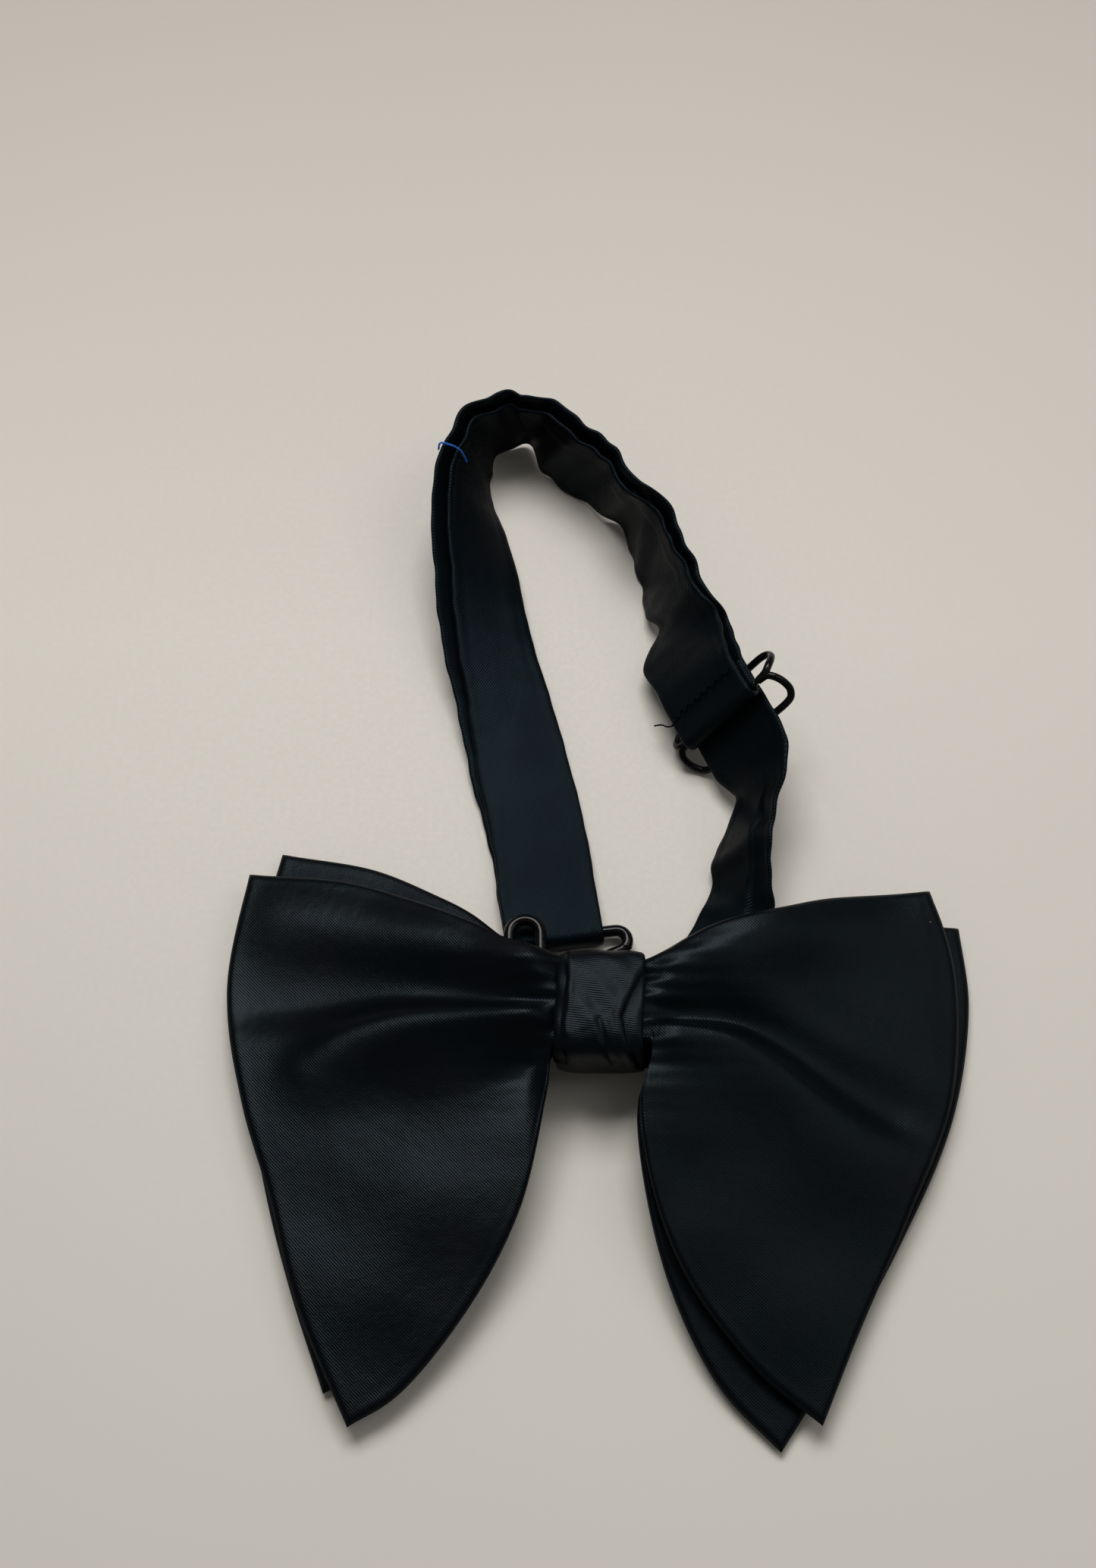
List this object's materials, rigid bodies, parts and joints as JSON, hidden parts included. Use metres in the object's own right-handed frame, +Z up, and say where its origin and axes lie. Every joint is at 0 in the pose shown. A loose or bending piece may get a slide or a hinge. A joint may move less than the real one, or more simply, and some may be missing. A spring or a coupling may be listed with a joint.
{
  "type": "bow tie",
  "caption": "Pre-tied butterfly bow tie in black satin with a hook, ring and slider on its adjustable neck strap.",
  "frame": {"origin": "middle of the bottom of the whole tie's box, on the surface that it lies on", "axes": "+Z up off the surface through the front of the knot, +Y from the bow towards the top of the neck loop, +X to the right of the bow as it is looked at"},
  "size_m": [0.1486, 0.2244, 0.0243],
  "materials": {
    "satin": "black satin with a soft sheen",
    "interlining": "stiff woven interlining",
    "black_thread": "twisted thread",
    "blue_thread": "twisted thread",
    "coated_wire": "gloss black coating"
  },
  "bodies": {
    "bow": {"front_left_blade": "satin", "front_right_blade": "satin", "rear_left_blade": "satin", "rear_right_blade": "satin", "front_left_interlining": "interlining", "front_right_interlining": "interlining", "rear_left_interlining": "interlining", "rear_right_interlining": "interlining", "knot_wrap": "satin", "gather_binding": "black_thread", "knot_closing_stitch": "black_thread", "strap_back": "satin", "ring_tab_stitch": "black_thread", "strap_outer_layer": "satin", "strap_return_layer": "satin", "strap_outer_bend": "satin", "strap_return_bend": "satin", "strap_return_run": "satin", "blue_thread_tack": "blue_thread"},
    "strap_end": {"strap_hook_end": "satin"},
    "hook": {"hook": "coated_wire"},
    "ring": {"ring": "coated_wire"},
    "slider": {"slider_frame": "coated_wire", "slider_bar": "coated_wire", "strap_sewn_end": "satin", "sewn_end_stitch": "black_thread"}
  },
  "joints": [
    {"name": "strap_end_swing", "type": "hinge", "parent": "bow", "child": "strap_end", "pos_m": [-0.02598, 0.0815, 0.0085], "axis": [0, 0, 1], "range_deg": [-8, 3], "deforming": ["strap_outer_bend", "strap_return_bend"]},
    {"name": "hook_swivel", "type": "hinge", "parent": "strap_end", "child": "hook", "pos_m": [-0.00888, -0.01206, 0.00264], "axis": [-0.99, -0.141, 0], "range_deg": [0, 8]},
    {"name": "ring_swing", "type": "hinge", "parent": "bow", "child": "ring", "pos_m": [-0.01161, -0.02394, 0.00805], "axis": [0, 1, 0], "range_deg": [-3, 8]},
    {"name": "slider_slide", "type": "slide", "parent": "bow", "child": "slider", "axis": [0.419, -0.908, 0], "range_m": [-0.001, 0.0025], "deforming": ["strap_return_run"]}
  ]
}
